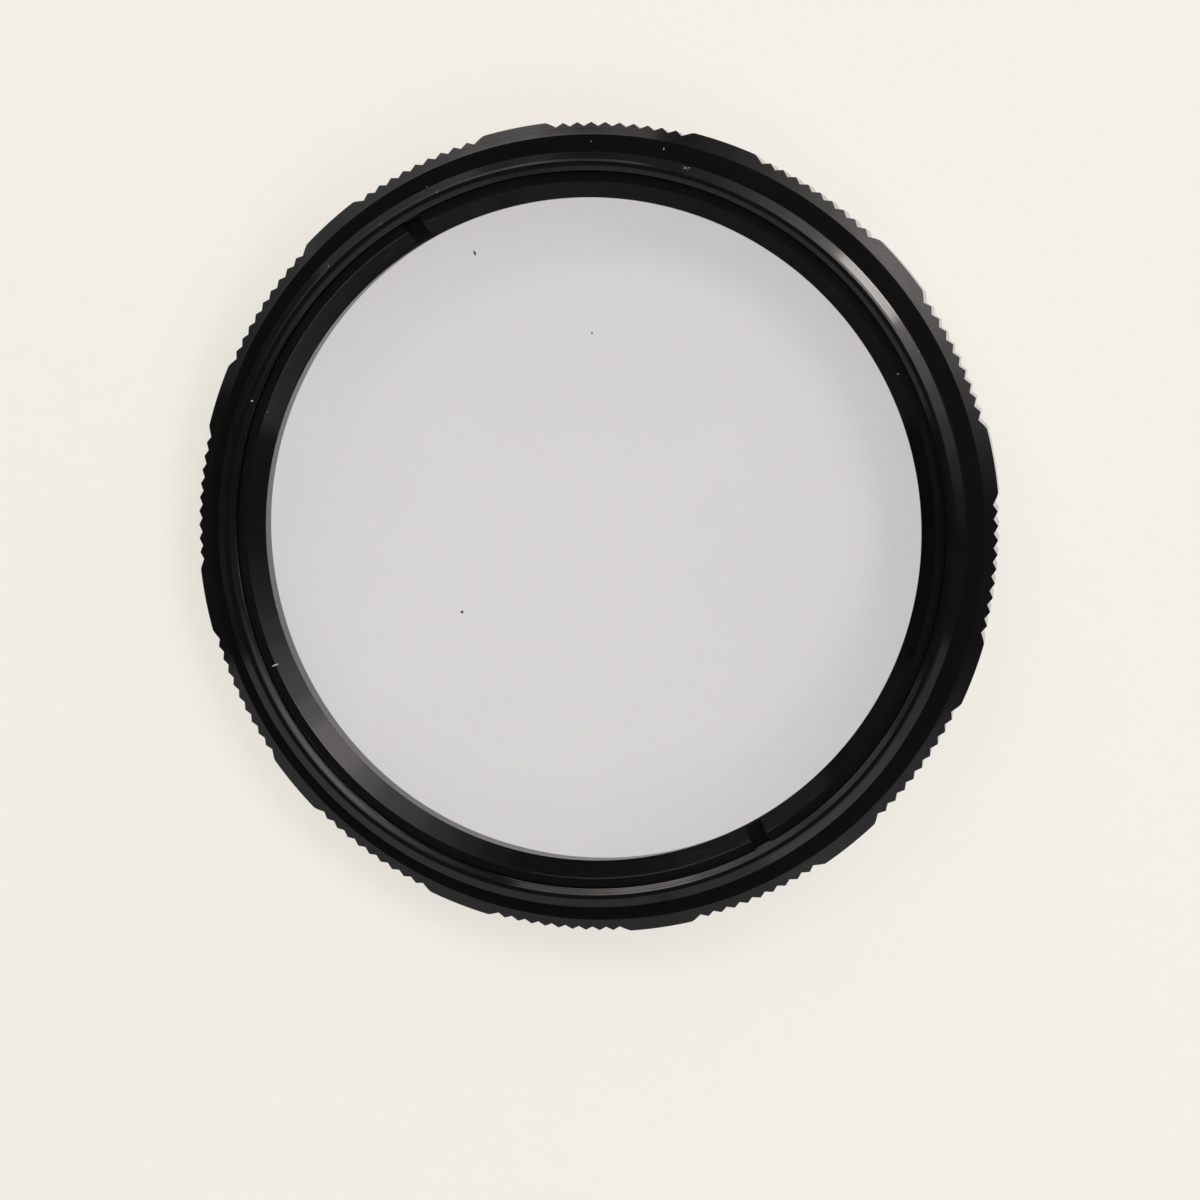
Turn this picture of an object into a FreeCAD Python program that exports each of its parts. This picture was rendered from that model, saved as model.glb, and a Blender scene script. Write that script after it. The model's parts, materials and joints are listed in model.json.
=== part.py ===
import FreeCAD
import Part
import Sketcher
import math
import os

# Screw-in close-up lens for a 49 mm filter thread, in millimetres: a turned and knurled mount
# ring with a male filter thread behind and a female one in front, a plano-convex glass, and the
# slotted ring that is screwed down on the glass from behind.
# It lies on its front rim at z = 0 with its axis on Z and the male thread upwards. The middle of
# one plain land of the grip is on +X. Threads are plain cylinders: outside threads at their major
# diameter, inside threads at their minor diameter.

SIZES = (
    ("thread_diameter", 48.96, "male filter thread at the rear, major diameter"),
    ("front_thread_depth", 0.39, "female filter thread: how far its crests stand inside the male's"),
    ("spigot_length", 2.0, "male thread, shoulder to end"),
    ("spigot_wall", 1.28, "wall between the male thread and the retaining ring's thread"),
    ("lead_width", 0.71, "lead chamfer of the male thread, across"),
    ("lead_height", 0.48, "lead chamfer of the male thread, along the axis"),
    ("mouth_width", 0.30, "chamfer at the mouth of the rear bore, across"),
    ("mouth_height", 0.25, "chamfer at the mouth of the rear bore, along the axis"),
    ("shoulder_width", 1.09, "flat face that meets the camera lens, outside the male thread"),
    ("bevel_width", 0.93, "rear bevel of the grip, across"),
    ("bevel_height", 0.58, "rear bevel of the grip, along the axis"),
    ("front_chamfer", 0.40, "front edge of the grip"),
    ("recess_depth", 2.40, "female thread, front rim to lip"),
    ("recess_chamfer", 0.35, "chamfer at the mouth of the female thread"),
    ("lip_thickness", 1.70, "lip that the glass lies on, along the axis"),
    ("lip_width", 0.70, "lip that the glass lies on, across"),
    ("land_count", 12, "plain lands round the grip"),
    ("grooves_per_group", 10, "knurl grooves between two lands"),
    ("groove_pitch", 2.0, "knurl groove to groove, degrees"),
    ("groove_depth", 0.37, "knurl groove below the lands"),
    ("groove_angle", 120, "knurl groove, angle between its flanks, degrees"),
    ("lens_clearance", 0.10, "glass to the wall of its seat"),
    ("lens_edge", 1.20, "thickness of the glass at its edge"),
    ("dome_radius", 261, "radius of the convex front of the glass, two dioptres in crown glass"),
    ("dome_clearance", 0.40, "convex front to the bore of the lip"),
    ("ring_step", 0.60, "step from the retaining ring's thread in to the seat of the glass"),
    ("ring_overrun", 0.20, "thread for the retaining ring, past the back of the glass"),
    ("ring_clearance", 0.05, "retaining ring to the wall of its thread"),
    ("ring_height", 1.30, "retaining ring, along the axis"),
    ("ring_recess", 0.70, "face of the retaining ring below the end of the male thread"),
    ("ring_flat", 0.63, "flat face of the retaining ring, across"),
    ("cone_width", 0.95, "conical inner edge of the retaining ring, across"),
    ("cone_height", 1.15, "conical inner edge of the retaining ring, along the axis"),
    ("slot_width", 1.13, "spanner slots in the retaining ring"),
    ("slot_depth", 1.00, "spanner slots below the flat face"),
    ("slot_angle", 109.2, "direction of the cut that makes both spanner slots, from +X, degrees"),
    ("slot_offset", 0.24, "middle of that cut past the axis"),
    ("cut_margin", 0.10, "how far a cutting outline runs past the face that it cuts"),
)

# Radii and heights that two or more pieces share, as expressions on the sheet.
MALE_R = "(lens.thread_diameter / 2)"
GRIP_R = f"({MALE_R} + lens.shoulder_width + lens.bevel_width)"
FEMALE_R = f"({MALE_R} - lens.front_thread_depth)"
RING_BORE_R = f"({MALE_R} - lens.spigot_wall)"
SEAT_R = f"({RING_BORE_R} - lens.ring_step)"
LIP_R = f"({SEAT_R} - lens.lip_width)"
RING_R = f"({RING_BORE_R} - lens.ring_clearance)"
CONE_R = f"({RING_R} - lens.ring_flat)"
OPENING_R = f"({CONE_R} - lens.cone_width)"
SEAT_Z = "(lens.recess_depth + lens.lip_thickness)"
GLASS_Z = f"({SEAT_Z} + lens.lens_edge)"
RING_Z = f"({GLASS_Z} + lens.ring_height)"
END_Z = f"({RING_Z} + lens.ring_recess)"
SHOULDER_Z = f"({END_Z} - lens.spigot_length)"

doc = FreeCAD.newDocument("close_up_lens")
sheet = doc.addObject("Spreadsheet::Sheet", "lens")
for row, (alias, value, note) in enumerate(SIZES, start=1):
    sheet.set(f"A{row}", note)
    sheet.set(f"B{row}", str(value))
    sheet.setAlias(f"B{row}", alias)
doc.recompute()

# Numbers by which a sketch knows its own axes and the points of an edge.
ACROSS_INDEX, UP_INDEX = -1, -2
START_INDEX, END_INDEX, CENTRE_INDEX = 1, 2, 3
ROOT = (ACROSS_INDEX, START_INDEX)
ROUGH_CENTRE = FreeCAD.Vector(2, 2, 0)


def origin_feature(body, role):
    """One of the body's own base planes or axes."""
    return next(item for item in body.Origin.OriginFeatures if item.Role == role)


def new_sketch(body, name, plane_role):
    """An empty sketch on one of the body's base planes."""
    sketch = body.newObject("Sketcher::SketchObject", name)
    sketch.AttachmentSupport = [(origin_feature(body, plane_role), "")]
    sketch.MapMode = "FlatFace"
    return sketch


def bind(sketch, kind, first, second, expression):
    """A dimension from one point to another, held at the value of an expression on the sheet."""
    index = sketch.addConstraint(Sketcher.Constraint(kind, *first, *second, 1.0))
    sketch.setExpression(f"Constraints[{index}]", expression)


def place(sketch, point, across, up):
    """Fixes a point at two expressions from the sketch's origin. A None keeps it on that axis."""
    for kind, expression, axis in (("DistanceX", across, UP_INDEX), ("DistanceY", up, ACROSS_INDEX)):
        if expression is None:
            sketch.addConstraint(Sketcher.Constraint("PointOnObject", *point, axis))
        else:
            bind(sketch, kind, ROOT, point, expression)


def draw_outline(sketch, corners):
    """A closed outline of straight edges through corners, each given as (across, up).
    It is drawn as a rough polygon, which the dimensions then pull into shape."""
    count = len(corners)
    turns = [2 * math.pi * i / count for i in range(count)]
    rough = [FreeCAD.Vector(math.cos(turn), math.sin(turn), 0) + ROUGH_CENTRE for turn in turns]
    for i in range(count):
        sketch.addGeometry(Part.LineSegment(rough[i], rough[(i + 1) % count]), False)
    for i, (across, up) in enumerate(corners):
        before = i - 1 if i else count - 1
        sketch.addConstraint(Sketcher.Constraint("Coincident", before, END_INDEX, i, START_INDEX))
        place(sketch, (i, START_INDEX), across, up)


def turn_section(body, sketch):
    """Turns a section once round the Z axis."""
    turned = body.newObject("PartDesign::Revolution", f"{body.Name}_turned")
    turned.Profile = sketch
    turned.ReferenceAxis = (sketch, ["V_Axis"])
    turned.Angle = 360
    doc.recompute()
    return turned


# Mount ring: turned in one setting, with the grip knurled in groups between plain lands.
mount_ring = doc.addObject("PartDesign::Body", "mount_ring")
ring_section = new_sketch(mount_ring, "mount_ring_section", "XZ_Plane")
draw_outline(ring_section, (
    (f"{FEMALE_R} + lens.recess_chamfer", None),
    (f"{GRIP_R} - lens.front_chamfer", None),
    (GRIP_R, "lens.front_chamfer"),
    (GRIP_R, f"{SHOULDER_Z} - lens.bevel_height"),
    (f"{GRIP_R} - lens.bevel_width", SHOULDER_Z),
    (MALE_R, SHOULDER_Z),
    (MALE_R, f"{END_Z} - lens.lead_height"),
    (f"{MALE_R} - lens.lead_width", END_Z),
    (f"{RING_BORE_R} + lens.mouth_width", END_Z),
    (RING_BORE_R, f"{END_Z} - lens.mouth_height"),
    (RING_BORE_R, f"{GLASS_Z} - lens.ring_overrun"),
    (SEAT_R, f"{GLASS_Z} - lens.ring_overrun"),
    (SEAT_R, SEAT_Z),
    (LIP_R, SEAT_Z),
    (LIP_R, "lens.recess_depth"),
    (FEMALE_R, "lens.recess_depth"),
    (FEMALE_R, "lens.recess_chamfer"),
))
ring_blank = turn_section(mount_ring, ring_section)

# Knurl: one V groove along the axis, repeated in a group, and the group repeated between lands.
groove_sketch = new_sketch(mount_ring, "groove_outline", "XY_Plane")
groove_sketch.setExpression(
    "AttachmentOffset.Rotation.Angle",
    "(360 / lens.land_count - lens.groove_pitch * (lens.grooves_per_group - 1)) / 2",
)
groove_half = "(lens.groove_depth + lens.cut_margin) * tan(lens.groove_angle * 1deg / 2)"
draw_outline(groove_sketch, (
    (f"{GRIP_R} - lens.groove_depth", None),
    (f"{GRIP_R} + lens.cut_margin", f"-{groove_half}"),
    (f"{GRIP_R} + lens.cut_margin", groove_half),
))
groove = mount_ring.newObject("PartDesign::Pocket", "groove")
groove.Profile = groove_sketch
groove.Type = "ThroughAll"
groove.Reversed = True
doc.recompute()
knurl = mount_ring.newObject("PartDesign::MultiTransform", "knurl")
knurl.Originals = [groove]
group = mount_ring.newObject("PartDesign::PolarPattern", "groove_group")
group.Axis = (groove_sketch, ["N_Axis"])
group.setExpression("Angle", "lens.groove_pitch * (lens.grooves_per_group - 1)")
group.setExpression("Occurrences", "lens.grooves_per_group")
round_grip = mount_ring.newObject("PartDesign::PolarPattern", "groups_round_grip")
round_grip.Axis = (groove_sketch, ["N_Axis"])
round_grip.Angle = 360
round_grip.setExpression("Occurrences", "lens.land_count")
knurl.Transformations = [group, round_grip]
mount_ring.Tip = knurl
doc.recompute()

# Glass: flat at the back, convex in front, with a narrow ground flat that lies on the lip.
lens_element = doc.addObject("PartDesign::Body", "lens_element")
glass_section = new_sketch(lens_element, "lens_element_section", "XZ_Plane")
dome_radius = float(sheet.get("dome_radius"))
rough_reach = float(sheet.get("thread_diameter")) / 2
rough_end = -math.pi / 2 + math.asin(rough_reach / dome_radius)
dome_circle = Part.Circle(FreeCAD.Vector(0, dome_radius, 0), FreeCAD.Vector(0, 0, 1), dome_radius)
dome = Part.ArcOfCircle(dome_circle, -math.pi / 2, rough_end)
rough_corners = (
    dome.EndPoint,
    dome.EndPoint + FreeCAD.Vector(1, 0, 0),
    dome.EndPoint + FreeCAD.Vector(1, 1, 0),
    FreeCAD.Vector(0, dome.EndPoint.y + 1, 0),
    dome.StartPoint,
)
DOME, FLAT, EDGE, BACK, MIDDLE = range(5)
glass_section.addGeometry(dome, False)
for rough_start, rough_stop in zip(rough_corners, rough_corners[1:]):
    glass_section.addGeometry(Part.LineSegment(rough_start, rough_stop), False)
for before, after in ((DOME, FLAT), (FLAT, EDGE), (EDGE, BACK), (BACK, MIDDLE)):
    glass_section.addConstraint(Sketcher.Constraint("Coincident", before, END_INDEX, after, START_INDEX))
glass_section.addConstraint(Sketcher.Constraint("Coincident", MIDDLE, END_INDEX, DOME, START_INDEX))
for point in ((DOME, CENTRE_INDEX), (DOME, START_INDEX), (BACK, END_INDEX)):
    glass_section.addConstraint(Sketcher.Constraint("PointOnObject", *point, UP_INDEX))
glass_section.addConstraint(Sketcher.Constraint("Horizontal", FLAT))
glass_section.addConstraint(Sketcher.Constraint("Vertical", EDGE))
glass_section.addConstraint(Sketcher.Constraint("Horizontal", BACK))
dome_index = glass_section.addConstraint(Sketcher.Constraint("Radius", DOME, dome_radius))
glass_section.setExpression(f"Constraints[{dome_index}]", "lens.dome_radius")
place(glass_section, (DOME, END_INDEX), f"{LIP_R} - lens.dome_clearance", SEAT_Z)
place(glass_section, (EDGE, END_INDEX), f"{SEAT_R} - lens.lens_clearance", GLASS_Z)
turn_section(lens_element, glass_section)

# Retaining ring: screwed down on the back of the glass, with two slots for a spanner that are made
# by one straight cut across it.
retaining_ring = doc.addObject("PartDesign::Body", "retaining_ring")
retainer_section = new_sketch(retaining_ring, "retaining_ring_section", "XZ_Plane")
draw_outline(retainer_section, (
    (OPENING_R, GLASS_Z),
    (RING_R, GLASS_Z),
    (RING_R, RING_Z),
    (CONE_R, RING_Z),
    (OPENING_R, f"{RING_Z} - lens.cone_height"),
))
retainer_blank = turn_section(retaining_ring, retainer_section)
slot_sketch = new_sketch(retaining_ring, "slot_outline", "XY_Plane")
slot_sketch.setExpression("AttachmentOffset.Base.z", RING_Z)
slot_sketch.setExpression("AttachmentOffset.Rotation.Angle", "lens.slot_angle")
slot_reach = f"({RING_R} + lens.cut_margin)"
slot_near = "-lens.slot_offset - lens.slot_width / 2"
slot_far = "-lens.slot_offset + lens.slot_width / 2"
draw_outline(slot_sketch, (
    (f"-{slot_reach}", slot_near),
    (slot_reach, slot_near),
    (slot_reach, slot_far),
    (f"-{slot_reach}", slot_far),
))
slots = retaining_ring.newObject("PartDesign::Pocket", "slots")
slots.Profile = slot_sketch
slots.setExpression("Length", "lens.slot_depth")
retaining_ring.Tip = slots
doc.recompute()

# Every feature has to be sound, and every cut has to take material away, before files are written.
for item in doc.Objects:
    if "Invalid" in item.State or "Error" in item.State:
        raise RuntimeError(f"{item.Label} failed: {item.State}")
for blank, cut in ((ring_blank, groove), (groove, knurl), (retainer_blank, slots)):
    if cut.Shape.Volume >= blank.Shape.Volume:
        raise RuntimeError(f"{cut.Label} cuts nothing")
os.makedirs("parts", exist_ok=True)
for body in (mount_ring, lens_element, retaining_ring):
    if body.Shape.isNull() or not body.Shape.isValid() or len(body.Shape.Solids) != 1:
        raise RuntimeError(f"{body.Label} is not one sound solid")
    body.Shape.exportStep(f"parts/{body.Label}.step")
    box = body.Shape.BoundBox
    extent = f"z {box.ZMin:.2f} to {box.ZMax:.2f}, x to {box.XMax:.3f}"
    print(f"{body.Label}: {body.Shape.Volume:.1f} mm3, {extent}")
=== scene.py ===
import json
import math

import bmesh
import bpy
from mathutils import Matrix, Vector


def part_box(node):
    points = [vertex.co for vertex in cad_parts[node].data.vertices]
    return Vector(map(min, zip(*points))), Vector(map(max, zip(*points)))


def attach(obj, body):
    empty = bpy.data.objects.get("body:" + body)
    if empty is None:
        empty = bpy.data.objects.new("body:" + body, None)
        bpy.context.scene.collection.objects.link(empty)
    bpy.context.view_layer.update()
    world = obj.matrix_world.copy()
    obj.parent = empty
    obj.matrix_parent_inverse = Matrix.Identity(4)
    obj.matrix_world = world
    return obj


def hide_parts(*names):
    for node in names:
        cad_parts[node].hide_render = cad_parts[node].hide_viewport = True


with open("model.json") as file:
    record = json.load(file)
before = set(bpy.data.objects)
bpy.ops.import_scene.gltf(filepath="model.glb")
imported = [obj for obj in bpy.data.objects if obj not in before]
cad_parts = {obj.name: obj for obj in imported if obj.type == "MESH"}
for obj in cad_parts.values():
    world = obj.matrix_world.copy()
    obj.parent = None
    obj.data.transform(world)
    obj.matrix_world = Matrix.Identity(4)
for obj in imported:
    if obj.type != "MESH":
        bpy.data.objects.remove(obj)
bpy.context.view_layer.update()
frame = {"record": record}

# Mount ring: turned from aluminium bar in one setting, knurled in groups between plain lands and
# black anodised. A male filter thread stands behind the grip, a female one is cut in front, and
# the bore holds the glass on a lip, with a fine thread above it for the ring that keeps it there.

# Lengths are in millimetres, slopes and angles in degrees. A finished mesh is scaled to metres.
MM = 0.001
mounts = {mount["name"]: mount for mount in frame["record"]["mounts"]}
rear_thread = mounts["rear_thread"]
front_thread = mounts["front_thread"]
ring_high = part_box("mount_ring")[1] / MM
glass_low, glass_high = (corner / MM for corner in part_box("lens_element"))
keeper_low, keeper_high = (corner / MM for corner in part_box("retaining_ring"))

grip_r = ring_high.x
end_z = ring_high.z
male_r = rear_thread["dims"]["r_mm"]
shoulder_z = mounts["shoulder"]["pos_m"][2] / MM
female_r = front_thread["dims"]["r_mm"]
female_mouth_z = front_thread["pos_m"][2] / MM - front_thread["dims"]["length_mm"] / 2
recess_z = front_thread["pos_m"][2] / MM + front_thread["dims"]["length_mm"] / 2

bevel_width = 0.93
bevel_height = 0.58
front_chamfer = 0.40
mouth_width = 0.30
mouth_height = 0.25
keeper_clearance = 0.05
keeper_overrun = 0.20
glass_clearance = 0.10
glass_edge = 1.20
lip_width = 0.70
rim_rounding = 0.04
grip_rounding = 0.03
bevel_rounding = 0.02
seat_rounding = 0.05
lip_rounding = 0.06

# The lead chamfer of the male thread is a little flatter along its inner edge, and ends at the
# thread's crests, which are turned down by crest_cut.
lead_width = 0.71
lead_slope = 34.7
lead_inner_width = 0.15
lead_inner_slope = 33.0
crest_cut = 0.10

flange_r = grip_r - bevel_width
keeper_bore_r = keeper_high.x + keeper_clearance
keeper_floor_z = glass_high.z - keeper_overrun
seat_r = glass_high.x + glass_clearance
seat_z = glass_high.z - glass_edge
lip_r = seat_r - lip_width
male_crest_r = male_r - crest_cut
lead_inner_r = male_r - lead_width + lead_inner_width
lead_inner_z = end_z - lead_inner_width * math.tan(math.radians(lead_inner_slope))
lead_z = lead_inner_z - (male_crest_r - lead_inner_r) * math.tan(math.radians(lead_slope))

filter_pitch = 0.75
filter_thread_height = 0.42
keeper_pitch = 0.50
keeper_thread_height = 0.22
thread_runout = 0.22

land_count = 12
first_valley = 6.0
groove_pitch = 2.0
groove_depth = 0.37
groove_angle = 120.0

# Two steps to a degree, so that the knurl's valleys and crests fall on vertices. Shading runs on
# round the axis, where faces meet at a degree or less, and breaks at every edge that is turned.
TURN_STEPS = 720
ROUND_STEPS = 3
DOUBLINGS = 3
SHARP_EDGE = math.radians(1.5)
WELD_GAP = 0.0005


def pour(source, bm):
    """Adds the whole of one bmesh to another, and frees it."""
    mesh = bpy.data.meshes.new("poured")
    source.to_mesh(mesh)
    source.free()
    bm.from_mesh(mesh)
    bpy.data.meshes.remove(mesh)


def carry_round(bm, section, steps, rise=0.0):
    """Carries a section once round the Z axis, rising as it goes, and adds it to bm.
    An eighth of the way is spun, and that is doubled three times, which is far quicker."""
    share = 0.5 ** DOUBLINGS
    bmesh.ops.spin(
        section, geom=section.verts[:] + section.edges[:], cent=(0, 0, 0), axis=(0, 0, 1),
        dvec=(0, 0, rise / steps), angle=2 * math.pi * share, steps=round(steps * share), use_merge=False,
    )
    for _ in range(DOUBLINGS):
        copied = bmesh.ops.duplicate(section, geom=section.verts[:] + section.edges[:] + section.faces[:])
        ahead = [item for item in copied["geom"] if isinstance(item, bmesh.types.BMVert)]
        onward = Matrix.Rotation(2 * math.pi * share, 3, "Z")
        bmesh.ops.rotate(section, verts=ahead, cent=(0, 0, 0), matrix=onward)
        bmesh.ops.translate(section, verts=ahead, vec=(0, 0, rise * share))
        share *= 2
    pour(section, bm)


def turn(bm, outline, steps=TURN_STEPS):
    """Turns an outline of (radius, height, corner rounding) once round the Z axis."""
    section = bmesh.new()
    corners = [section.verts.new((radius, 0, height)) for radius, height, _ in outline]
    for pair in zip(corners, corners[1:]):
        section.edges.new(pair)
    for corner, (_, _, rounding) in zip(corners, outline):
        if rounding:
            bmesh.ops.bevel(
                section, geom=[corner], offset=rounding, offset_type="OFFSET", segments=ROUND_STEPS,
                profile=0.5, affect="VERTICES", material=-1,
            )
    carry_round(bm, section, steps)


def cut_thread(bm, pitch, low, high, root_r, crest_r, plain_r):
    """A right-handed thread from one height to another. It runs out to plain_r at each end,
    given as (low end, high end), so that it joins the turned faces there."""
    # Crest, flank, root and flank of the standard form, as shares of the pitch and of the height.
    form = ((0, 1), (0.125, 1), (0.28, 0.5), (0.4375, 0), (0.6875, 0), (0.84, 0.5))
    turns = math.ceil((high - low) / pitch) + 1
    rows = [(low + pitch * (i - 1 + share), rise) for i in range(turns + 1) for share, rise in form]
    section = bmesh.new()
    flank = [section.verts.new((root_r + (crest_r - root_r) * rise, 0, z)) for z, rise in rows]
    for pair in zip(flank, flank[1:]):
        section.edges.new(pair)
    thread = bmesh.new()
    carry_round(thread, section, TURN_STEPS, pitch)
    for vert in thread.verts:
        z = min(max(vert.co.z, low), high)
        cut_r = vert.co.xy.length
        for end_r, gap in zip(plain_r, (z - low, high - z)):
            cut_r = end_r + (cut_r - end_r) * min(gap / thread_runout, 1)
        vert.co.xy *= cut_r / vert.co.xy.length
        vert.co.z = z
    pour(thread, bm)


def grip_drop(angle):
    """How far the knurl lies below the lands at an angle from +X, in degrees."""
    sector = 360 / land_count
    from_land = abs((angle + sector / 2) % sector - sector / 2)
    valley = max(first_valley, groove_pitch * round(from_land / groove_pitch))
    slope = math.radians(grip_r) / math.tan(math.radians(groove_angle / 2))
    return max(groove_depth - abs(from_land - valley) * slope, 0)


def finish_piece(bm, name, material):
    """Welds a mesh made in millimetres, turns its faces outwards and makes it a piece in metres."""
    bmesh.ops.remove_doubles(bm, verts=bm.verts, dist=WELD_GAP)
    bmesh.ops.dissolve_degenerate(bm, edges=bm.edges, dist=WELD_GAP)
    bmesh.ops.recalc_face_normals(bm, faces=bm.faces)
    bmesh.ops.scale(bm, verts=bm.verts, vec=(MM, MM, MM))
    mesh = bpy.data.meshes.new(name)
    bm.to_mesh(mesh)
    bm.free()
    mesh.shade_smooth()
    mesh.set_sharp_from_angle(angle=SHARP_EDGE)
    mesh.materials.append(material)
    piece = bpy.data.objects.new(name, mesh)
    bpy.context.scene.collection.objects.link(piece)
    return piece


def linear(colour):
    """An sRGB hex colour as linear red, green, blue and alpha."""
    shares = [int(colour[i:i + 2], 16) / 255 for i in (1, 3, 5)]
    return [s / 12.92 if s <= 0.04045 else ((s + 0.055) / 1.055) ** 2.4 for s in shares] + [1.0]


def add_node(tree, kind, inputs=None, **settings):
    """Adds a node with its settings. An input is a value, or another node's output to link."""
    made = tree.nodes.new(kind)
    for name, value in settings.items():
        setattr(made, name, value)
    for socket, value in (inputs or {}).items():
        if isinstance(value, bpy.types.NodeSocket):
            tree.links.new(value, made.inputs[socket])
        else:
            made.inputs[socket].default_value = value
    return made


def new_material(name):
    """An empty node material with its output node."""
    material = bpy.data.materials.new(name)
    material.use_nodes = True
    material.node_tree.nodes.clear()
    return material, material.node_tree, material.node_tree.nodes.new("ShaderNodeOutputMaterial")


# Black anodised turned aluminium: a dyed oxide skin, deep black and satin, over a lathe finish.
# The eye sees sharp-edged soft reflections, drawn out a little along fine rings of tool marks.
# Marks and grain are drawn coarser than the real ones, so that they show, with sparse fine dust.
tool_mark_mm = 0.24
tool_mark_depth_mm = 0.010
skin_grain_mm = 0.06
skin_grain_depth_mm = 0.004
smear_mm = 6.0
dust_mm = 0.35
mote_core = 0.06
mote_edge = 0.09
mote_rarity = 0.93
oxide_ior = 1.77

# A Mix node's sockets for colours, which share their names with those for numbers and vectors.
COLOUR_A = 6
COLOUR_B = 7
COLOUR_MIX = 2

anodised, tree, output = new_material("black_anodised_turned_aluminium")
place = add_node(tree, "ShaderNodeTexCoord").outputs["Object"]
split = add_node(tree, "ShaderNodeSeparateXYZ", {0: place})
flat = add_node(tree, "ShaderNodeCombineXYZ", {"X": split.outputs["X"], "Y": split.outputs["Y"]})
radius = add_node(tree, "ShaderNodeVectorMath", {0: flat.outputs[0]}, operation="LENGTH")
across = add_node(
    tree, "ShaderNodeMath", {0: radius.outputs["Value"], 1: split.outputs["Z"]}, operation="ADD"
)
marks = add_node(
    tree, "ShaderNodeTexNoise", {"W": across.outputs[0], "Scale": 1 / (tool_mark_mm * MM), "Detail": 2.0},
    noise_dimensions="1D",
)
grain = add_node(
    tree, "ShaderNodeTexNoise", {"Vector": place, "Scale": 1 / (skin_grain_mm * MM), "Detail": 2.0}
)
smear = add_node(
    tree, "ShaderNodeTexNoise", {"Vector": place, "Scale": 1 / (smear_mm * MM), "Detail": 4.0}
)
motes = add_node(
    tree, "ShaderNodeTexVoronoi", {"Vector": place, "Scale": 1 / (dust_mm * MM), "Randomness": 1.0}
)
mote_size = add_node(
    tree, "ShaderNodeMapRange",
    {
        "Value": motes.outputs["Distance"], "From Min": mote_core, "From Max": mote_edge,
        "To Min": 1.0, "To Max": 0.0,
    },
)
mote_rare = add_node(
    tree, "ShaderNodeMath", {0: motes.outputs["Color"], 1: mote_rarity}, operation="GREATER_THAN"
)
mote = add_node(
    tree, "ShaderNodeMath", {0: mote_size.outputs[0], 1: mote_rare.outputs[0]}, operation="MULTIPLY"
)
tone = add_node(
    tree, "ShaderNodeMix",
    {"Factor": smear.outputs["Fac"], COLOUR_A: linear("#080808"), COLOUR_B: linear("#0E0E0F")},
    data_type="RGBA",
)
dusted = add_node(
    tree, "ShaderNodeMix",
    {"Factor": mote.outputs[0], COLOUR_A: tone.outputs[COLOUR_MIX], COLOUR_B: linear("#4A4845")},
    data_type="RGBA",
)
satin = add_node(
    tree, "ShaderNodeMapRange",
    {
        "Value": smear.outputs["Fac"], "From Min": 0.3, "From Max": 0.7,
        "To Min": 0.10, "To Max": 0.14,
    },
)
dulled = add_node(
    tree, "ShaderNodeMapRange",
    {
        "Value": grain.outputs["Fac"], "From Min": 0.3, "From Max": 0.7,
        "To Min": -0.01, "To Max": 0.02,
    },
)
roughness = add_node(
    tree, "ShaderNodeMath", {0: satin.outputs[0], 1: dulled.outputs[0]}, operation="ADD"
)
mark_bump = add_node(
    tree, "ShaderNodeBump",
    {"Height": marks.outputs["Fac"], "Strength": 0.5, "Distance": tool_mark_depth_mm * MM},
)
grain_bump = add_node(
    tree, "ShaderNodeBump",
    {
        "Height": grain.outputs["Fac"], "Normal": mark_bump.outputs["Normal"],
        "Strength": 0.08, "Distance": skin_grain_depth_mm * MM,
    },
)
skin = add_node(
    tree, "ShaderNodeBsdfPrincipled",
    {
        "Base Color": dusted.outputs[COLOUR_MIX], "Roughness": roughness.outputs[0],
        "IOR": oxide_ior, "Normal": grain_bump.outputs["Normal"],
    },
)
tree.links.new(skin.outputs[0], output.inputs["Surface"])

bm = bmesh.new()
turn(bm, (
    (female_r, female_mouth_z, 0),
    (female_r + female_mouth_z, 0, rim_rounding),
    (grip_r - front_chamfer, 0, grip_rounding),
    (grip_r, front_chamfer, grip_rounding),
    (grip_r, shoulder_z - bevel_height, bevel_rounding),
    (flange_r, shoulder_z, 0),
    (male_r - filter_thread_height, shoulder_z, 0),
))
# The knurl sinks the grip's wall, and its ends slide along the bevel and the front chamfer.
for vert in bm.verts:
    if vert.co.xy.length > (flange_r + grip_r) / 2 and vert.co.z > front_chamfer / 2:
        drop = grip_drop(math.degrees(math.atan2(vert.co.y, vert.co.x)))
        vert.co.xy *= 1 - drop / vert.co.xy.length
        vert.co.z += drop * (bevel_height / bevel_width if vert.co.z > shoulder_z / 2 else -1)
turn(bm, (
    (male_crest_r, lead_z, 0),
    (lead_inner_r, lead_inner_z, 0),
    (male_r - lead_width, end_z, 0),
    (keeper_bore_r + mouth_width, end_z, 0),
    (keeper_bore_r, end_z - mouth_height, 0),
))
turn(bm, (
    (keeper_bore_r + keeper_thread_height, keeper_floor_z, 0),
    (seat_r, keeper_floor_z, seat_rounding),
    (seat_r, seat_z, 0),
    (lip_r, seat_z, lip_rounding),
    (lip_r, recess_z, lip_rounding),
    (female_r + filter_thread_height, recess_z, 0),
))
cut_thread(
    bm, filter_pitch, shoulder_z, lead_z, male_r - filter_thread_height, male_crest_r,
    (male_r - filter_thread_height, male_crest_r),
)
cut_thread(
    bm, keeper_pitch, keeper_floor_z, end_z - mouth_height, keeper_bore_r + keeper_thread_height,
    keeper_bore_r, (keeper_bore_r + keeper_thread_height, keeper_bore_r),
)
cut_thread(
    bm, filter_pitch, female_mouth_z, recess_z, female_r + filter_thread_height, female_r,
    (female_r, female_r + filter_thread_height),
)
mount_ring = finish_piece(bm, "mount_ring_turned", anodised)
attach(mount_ring, "root")
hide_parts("mount_ring")

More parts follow.
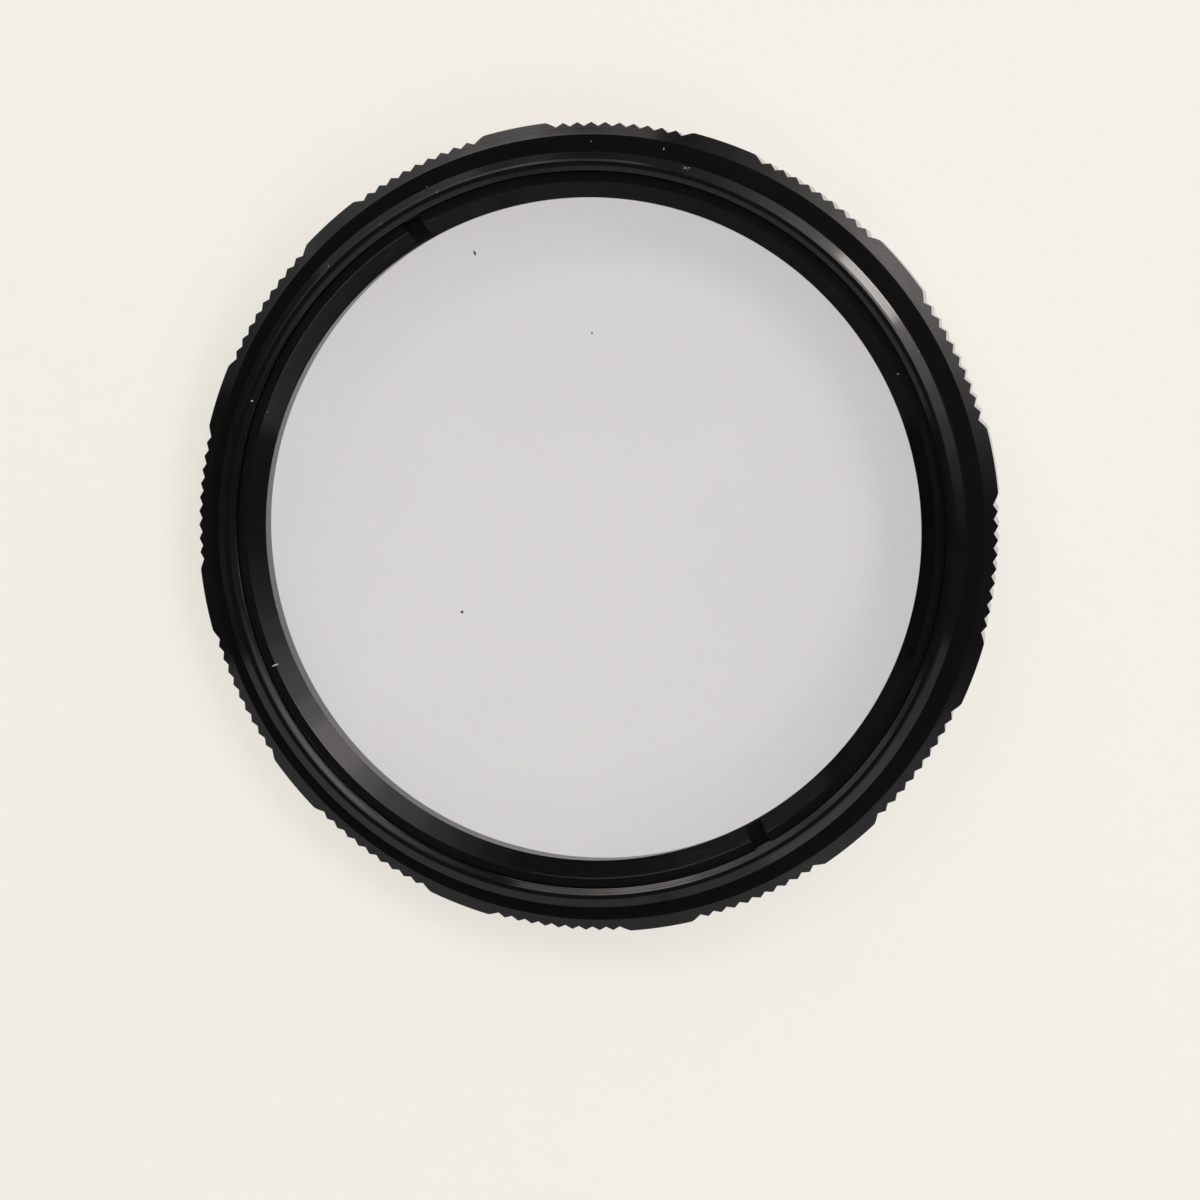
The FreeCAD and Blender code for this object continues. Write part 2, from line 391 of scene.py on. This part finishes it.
# Lens element: a plano-convex glass, ground and polished, with a thin coating on both faces. Its
# convex front lies on the lip of the mount ring, and its rim is ground with a small chamfer.
GLASS_STEPS = 360
DOME_RINGS = 24
dome_r = 261.0
dome_clearance = 0.40
rim_chamfer = 0.08

glass_r = glass_high.x
dome_reach = lip_r - dome_clearance

# Coated crown glass: clear and polished, with a thin low-index film that takes most of the
# reflection away and leaves a faint purple one. Handling leaves slight smears.
wipe_mm = 9.0
crown_ior = 1.52
film_nm = 115.0
film_ior = 1.38
coated, tree, output = new_material("coated_crown_glass")
place = add_node(tree, "ShaderNodeTexCoord").outputs["Object"]
wipe = add_node(
    tree, "ShaderNodeTexNoise",
    {"Vector": place, "Scale": 1 / (wipe_mm * MM), "Detail": 3.0, "Distortion": 0.6},
)
clean = add_node(
    tree, "ShaderNodeMapRange",
    {
        "Value": wipe.outputs["Fac"], "From Min": 0.45, "From Max": 0.75,
        "To Min": 0.0, "To Max": 0.02,
    },
)
tint = add_node(
    tree, "ShaderNodeMix",
    {"Factor": wipe.outputs["Fac"], COLOUR_A: linear("#E7E7F1"), COLOUR_B: linear("#E3E3EE")},
    data_type="RGBA",
)
glass = add_node(
    tree, "ShaderNodeBsdfPrincipled",
    {
        "Base Color": tint.outputs[COLOUR_MIX], "Roughness": clean.outputs[0], "IOR": crown_ior,
        "Transmission Weight": 1.0, "Thin Film Thickness": film_nm, "Thin Film IOR": film_ior,
    },
)
tree.links.new(glass.outputs[0], output.inputs["Surface"])

bm = bmesh.new()
dome = []
for i in range(DOME_RINGS + 1):
    reach = dome_reach * i / DOME_RINGS
    dome.append((reach, glass_low.z + dome_r - math.sqrt(dome_r ** 2 - reach ** 2), 0))
turn(bm, (
    *dome,
    (glass_r, seat_z, rim_chamfer),
    (glass_r, glass_high.z, rim_chamfer),
    (0, glass_high.z, 0),
), GLASS_STEPS)
lens_element = finish_piece(bm, "lens_element_polished", coated)
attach(lens_element, "root")
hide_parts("lens_element")
# Light for the floor passes the clear glass unbent, which keeps the view through it clean.
lens_element.visible_shadow = False
lens_element.visible_diffuse = False

# Retaining ring: a thin turned ring, black anodised with the mount ring, with a flat face and a
# conical inner edge. One straight cut across it, a little past the axis, makes two spanner slots.
KEEPER_STEPS = 360
flat_width = 0.63
cone_width = 0.95
cone_height = 1.15
slot_width = 1.13
slot_depth = 1.00
slot_angle = 109.2
slot_offset = 0.24
keeper_rounding = 0.01
cone_rounding = 0.006

keeper_r = keeper_high.x
cone_r = keeper_r - flat_width
opening_r = cone_r - cone_width
along_slots = Matrix.Rotation(math.radians(slot_angle), 3, "Z")

bm = bmesh.new()
turn(bm, (
    (keeper_r, keeper_low.z, 0),
    (keeper_r, keeper_high.z, keeper_rounding),
    (cone_r, keeper_high.z, cone_rounding),
    (opening_r, keeper_high.z - cone_height, keeper_rounding),
    (opening_r, keeper_low.z, keeper_rounding),
    (keeper_r, keeper_low.z, 0),
), KEEPER_STEPS)
bmesh.ops.rotate(bm, verts=bm.verts, cent=(0, 0, 0), matrix=along_slots)
retaining_ring = finish_piece(bm, "retaining_ring_slotted", anodised)

bm = bmesh.new()
cutter_size = Matrix.Diagonal((4 * keeper_r, slot_width, 2 * slot_depth, 1))
cutter_place = Matrix.Translation((0, -slot_offset, keeper_high.z))
bmesh.ops.create_cube(bm, size=1, matrix=cutter_place @ cutter_size)
bmesh.ops.rotate(bm, verts=bm.verts, cent=(0, 0, 0), matrix=along_slots)
cutter = finish_piece(bm, "slot_cutter", anodised)
slots = retaining_ring.modifiers.new("spanner_slots", "BOOLEAN")
slots.operation = "DIFFERENCE"
slots.solver = "EXACT"
slots.object = cutter
depsgraph = bpy.context.evaluated_depsgraph_get()
slotted = bpy.data.meshes.new_from_object(retaining_ring.evaluated_get(depsgraph))
retaining_ring.modifiers.remove(slots)
bpy.data.objects.remove(cutter)
slotted.set_sharp_from_angle(angle=SHARP_EDGE)
retaining_ring.data = slotted
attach(retaining_ring, "root")
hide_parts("retaining_ring")

# Dust: pale lint that has settled on the metal, and dark specks on the back of the glass. The
# five pale flakes on the lead chamfer near 63 degrees are a painted highlight that stands for a
# glint there. Each is given by its angle from +X, its radius, what it lies on, and its length,
# width and thickness.
flake_lift = 0.4
lead_middle_z = (lead_z + end_z) / 2
lint_and_painted_glint = (
    (148.1, 23.44, end_z, 0.20, 0.07, 0.04),
    (192.7, 22.56, keeper_high.z, 0.50, 0.08, 0.05),
    # Painted highlight: these five pale flakes on the lead chamfer stand for a glint, not for lint.
    (63.5, 24.19, lead_middle_z - 0.06, 0.11, 0.07, 0.06),
    (63.1, 24.24, lead_middle_z - 0.09, 0.05, 0.08, 0.05),
    (63.8, 24.11, lead_middle_z, 0.06, 0.05, 0.05),
    (63.2, 24.08, lead_middle_z + 0.02, 0.04, 0.05, 0.04),
    (63.9, 24.26, lead_middle_z - 0.10, 0.04, 0.04, 0.04),
    (68.0, 25.08, shoulder_z, 0.16, 0.06, 0.04),
    (78.8, 25.12, shoulder_z, 0.09, 0.04, 0.03),
    (18.3, 24.36, lead_z, 0.05, 0.04, 0.03),
    (104.6, 24.68, shoulder_z, 0.06, 0.05, 0.03),
    (16.8, 22.55, keeper_high.z, 0.10, 0.05, 0.03),
    (102.7, 23.82, end_z - 0.04, 0.06, 0.05, 0.03),
    (112.8, 23.82, end_z - 0.04, 0.06, 0.05, 0.03),
    (123.4, 23.95, end_z - 0.13, 0.08, 0.06, 0.03),
    (149.1, 22.44, keeper_high.z - 0.10, 0.05, 0.05, 0.03),
)
specks = (
    (101.6, 19.51, glass_high.z, 0.34, 0.14, 0.04),
    (78.0, 12.93, glass_high.z, 0.14, 0.12, 0.03),
    (201.9, 9.89, glass_high.z, 0.22, 0.18, 0.03),
)


def settle(flakes, name, material):
    """Lays flat flakes out, each along the radius and a little sunk, and makes them one piece."""
    bm = bmesh.new()
    for angle, reach, height, length, width, thickness in flakes:
        form = Matrix.Diagonal((length / 2, width / 2, thickness / 2, 1))
        onto = Matrix.Translation((reach, 0, height + thickness * flake_lift))
        round_axis = Matrix.Rotation(math.radians(angle), 4, "Z")
        bmesh.ops.create_icosphere(bm, subdivisions=2, radius=1, matrix=round_axis @ onto @ form)
    return finish_piece(bm, name, material)


def dust_finish(name, dark, pale):
    """A matt finish, mottled at the width of a fibre or a grain."""
    grain_mm = 0.03
    material, tree, output = new_material(name)
    place = add_node(tree, "ShaderNodeTexCoord").outputs["Object"]
    mottle = add_node(tree, "ShaderNodeTexNoise", {"Vector": place, "Scale": 1 / (grain_mm * MM)})
    tone = add_node(
        tree, "ShaderNodeMix",
        {"Factor": mottle.outputs["Fac"], COLOUR_A: linear(dark), COLOUR_B: linear(pale)},
        data_type="RGBA",
    )
    matt = add_node(
        tree, "ShaderNodeBsdfPrincipled", {"Base Color": tone.outputs[COLOUR_MIX], "Roughness": 0.95}
    )
    tree.links.new(matt.outputs[0], output.inputs["Surface"])
    return material


# Cotton lint: matt off-white fibres, and the same pale flakes as a painted highlight on the lead
# chamfer. Soot and grit: matt grey-brown grains.
cotton_and_painted_glint = dust_finish("cotton_lint", "#B9B6B0", "#E2DFD8")
grit = dust_finish("grey_brown_grit", "#2E2A27", "#4A4540")
# This piece holds the real lint and the painted highlight on the lead chamfer.
lint_and_glint_piece = settle(lint_and_painted_glint, "dust_lint", cotton_and_painted_glint)
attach(lint_and_glint_piece, "root")
speck_piece = settle(specks, "dust_grit", grit)
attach(speck_piece, "root")

# Floor: a sheet of pale cream paper that the lens lies on, with a hair's gap under the rim. Most of
# what is seen of it is its own even tone, and the rest takes the soft shadow of the lens.
floor_side = 600.0
floor_gap = 0.02
backlit_share = 0.75
paper_cloud_mm = 2.0

# Pale cream paper: matt, and so faintly clouded by its fibres that it looks even.
paper, tree, output = new_material("pale_cream_paper")
place = add_node(tree, "ShaderNodeTexCoord").outputs["Object"]
cloud = add_node(tree, "ShaderNodeTexNoise", {"Vector": place, "Scale": 1 / (paper_cloud_mm * MM)})
shade = add_node(
    tree, "ShaderNodeMix",
    {"Factor": cloud.outputs["Fac"], COLOUR_A: linear("#F5F1E8"), COLOUR_B: linear("#F4F0E7")},
    data_type="RGBA",
)
sheet = add_node(
    tree, "ShaderNodeBsdfPrincipled", {"Base Color": shade.outputs[COLOUR_MIX], "Roughness": 0.9}
)
lit = add_node(tree, "ShaderNodeEmission", {"Color": shade.outputs[COLOUR_MIX], "Strength": 1.0})
rays = add_node(tree, "ShaderNodeLightPath")
seen = add_node(
    tree, "ShaderNodeMath",
    {0: rays.outputs["Is Camera Ray"], 1: rays.outputs["Is Glossy Ray"]}, operation="MAXIMUM",
)
seen_through = add_node(
    tree, "ShaderNodeMath", {0: seen.outputs[0], 1: rays.outputs["Is Transmission Ray"]}, operation="MAXIMUM"
)
share = add_node(
    tree, "ShaderNodeMath", {0: seen_through.outputs[0], 1: backlit_share}, operation="MULTIPLY"
)
paper_mix = add_node(
    tree, "ShaderNodeMixShader", {0: share.outputs[0], 1: sheet.outputs[0], 2: lit.outputs[0]}
)
tree.links.new(paper_mix.outputs[0], output.inputs["Surface"])
bm = bmesh.new()
bmesh.ops.create_grid(bm, x_segments=1, y_segments=1, size=floor_side / 2 * MM)
bmesh.ops.translate(bm, verts=bm.verts, vec=(0, 0, -floor_gap * MM))
floor_mesh = bpy.data.meshes.new("floor")
bm.to_mesh(floor_mesh)
bm.free()
floor_mesh.materials.append(paper)
floor = bpy.data.objects.new("floor", floor_mesh)
bpy.context.scene.collection.objects.link(floor)

# Studio light: soft boxes round the lens, low enough to leave its flat faces black. Each is given
# by its azimuth and elevation from the lens, its distance, width and height in metres, its radiance
# and its colour. The key is a stack of panes, one behind another, brightest in the middle.
soft_boxes = (
    ("key_core", 33.5, 20.4, 0.78, 0.185, 0.083, 7.0, "#FFF8F4"),
    ("key_pane_1", 33.0, 9.5, 0.80, 0.17, 0.30, 0.50, "#FFF8F5"),
    ("key_pane_2", 33.0, 16.5, 0.82, 0.35, 0.47, 0.35, "#FFF8F5"),
    ("key_pane_3", 33.0, 20.0, 0.84, 0.55, 0.37, 0.30, "#FFF8F5"),
    ("key_pane_4", 33.0, 16.5, 0.86, 0.77, 0.50, 0.20, "#FFF8F5"),
    ("key_pane_5", 33.0, 16.5, 0.88, 1.02, 0.51, 0.12, "#FFF8F5"),
    ("key_pane_6", 33.0, 16.5, 0.90, 1.31, 0.52, 0.08, "#FFF8F5"),
    ("key_pane_7", 33.0, 16.5, 0.92, 1.66, 0.53, 0.06, "#FFF8F5"),
    ("back_pane_1", 103.0, 29.2, 0.80, 0.17, 0.32, 0.42, "#FFF8F5"),
    ("back_pane_2", 104.0, 29.2, 0.82, 0.35, 0.33, 0.30, "#FFF8F5"),
    ("back_pane_3", 111.0, 27.7, 0.84, 0.48, 0.36, 0.22, "#FFF8F5"),
    ("back_right", 94.0, 30.5, 0.86, 0.43, 0.30, 0.70, "#FFF8F5"),
    ("back_left", 127.0, 23.2, 0.88, 0.64, 0.30, 0.27, "#FFFFFF"),
    ("back_side", 145.0, 19.8, 0.90, 0.35, 0.31, 0.18, "#FFFFFF"),
    ("back_low", 120.0, 8.8, 0.82, 0.44, 0.15, 0.20, "#FFFFFF"),
    ("front_left", 226.0, 8.5, 0.80, 1.12, 0.30, 0.21, "#FFFFFF"),
    ("front_right", 294.0, 14.0, 0.82, 0.98, 0.30, 0.24, "#FFFFFF"),
    ("front_middle", 298.0, 13.0, 0.81, 0.55, 0.13, 0.22, "#FFFFFF"),
    ("front_low", 297.0, -0.3, 0.84, 0.86, 0.11, 0.16, "#FFFFFF"),
    ("high_right", 22.0, 52.0, 0.80, 0.70, 0.26, 6.6, "#FFFFFF"),
    ("high_back", 105.0, 50.0, 0.80, 0.50, 0.20, 5.3, "#FFFFFF"),
    ("high_front", 300.0, 48.0, 0.80, 0.60, 0.24, 4.6, "#FFFFFF"),
)
ring_middle = Vector((0, 0, end_z / 2 * MM))
for name, azimuth, elevation, distance, width, height, radiance, colour in soft_boxes:
    light = bpy.data.lights.new(name, "AREA")
    light.shape = "RECTANGLE"
    light.size = width
    light.size_y = height
    light.energy = radiance * math.pi * width * height
    light.color = linear(colour)[:3]
    flat_reach = math.cos(math.radians(elevation))
    toward = Vector((
        flat_reach * math.cos(math.radians(azimuth)),
        flat_reach * math.sin(math.radians(azimuth)),
        math.sin(math.radians(elevation)),
    ))
    lamp = bpy.data.objects.new(name, light)
    lamp.location = ring_middle + toward * distance
    lamp.rotation_euler = toward.to_track_quat("Z", "Y").to_euler()
    lamp.visible_camera = False
    bpy.context.scene.collection.objects.link(lamp)

# The room: dim grey all round for the light, pale cream where the camera looks past the floor.
room = bpy.data.worlds.new("room")
room.use_nodes = True
tree = room.node_tree
tree.nodes.clear()
rays = add_node(tree, "ShaderNodeLightPath")
dim = add_node(tree, "ShaderNodeBackground", {"Color": linear("#FFFFFF"), "Strength": 0.03})
pale = add_node(tree, "ShaderNodeBackground", {"Color": linear("#F4F0E8"), "Strength": 1.0})
seen = add_node(
    tree, "ShaderNodeMixShader", {0: rays.outputs["Is Camera Ray"], 1: dim.outputs[0], 2: pale.outputs[0]}
)
add_node(tree, "ShaderNodeOutputWorld", {"Surface": seen.outputs[0]})
bpy.context.scene.world = room
bpy.context.scene.view_settings.view_transform = "Standard"

# Camera: it looks down on the rear of the lens, a little off its axis, from about 170 mm. The
# lens stands a little left of the middle of the picture and above it.
view_tilt = math.radians(11.2)
view_azimuth = math.radians(21.9)
picture_up_azimuth = math.radians(79.4)
view_distance = 168.9
ring_left = 0.83
ring_up = 4.35
back = Vector((
    math.sin(view_tilt) * math.cos(view_azimuth),
    math.sin(view_tilt) * math.sin(view_azimuth),
    math.cos(view_tilt),
))
right = Vector((math.cos(picture_up_azimuth), math.sin(picture_up_azimuth), 0)).cross(back).normalized()
up = back.cross(right)
eye = Vector((0, 0, shoulder_z)) + right * ring_left - up * ring_up + back * view_distance
camera_data = bpy.data.cameras.new("camera")
camera_data.sensor_width = 36.0
camera_data.lens = 78.0
camera_data.clip_start = 0.01
camera = bpy.data.objects.new("camera", camera_data)
camera.matrix_world = Matrix.Translation(eye * MM) @ Matrix((right, up, back)).transposed().to_4x4()
bpy.context.scene.collection.objects.link(camera)
bpy.context.scene.camera = camera
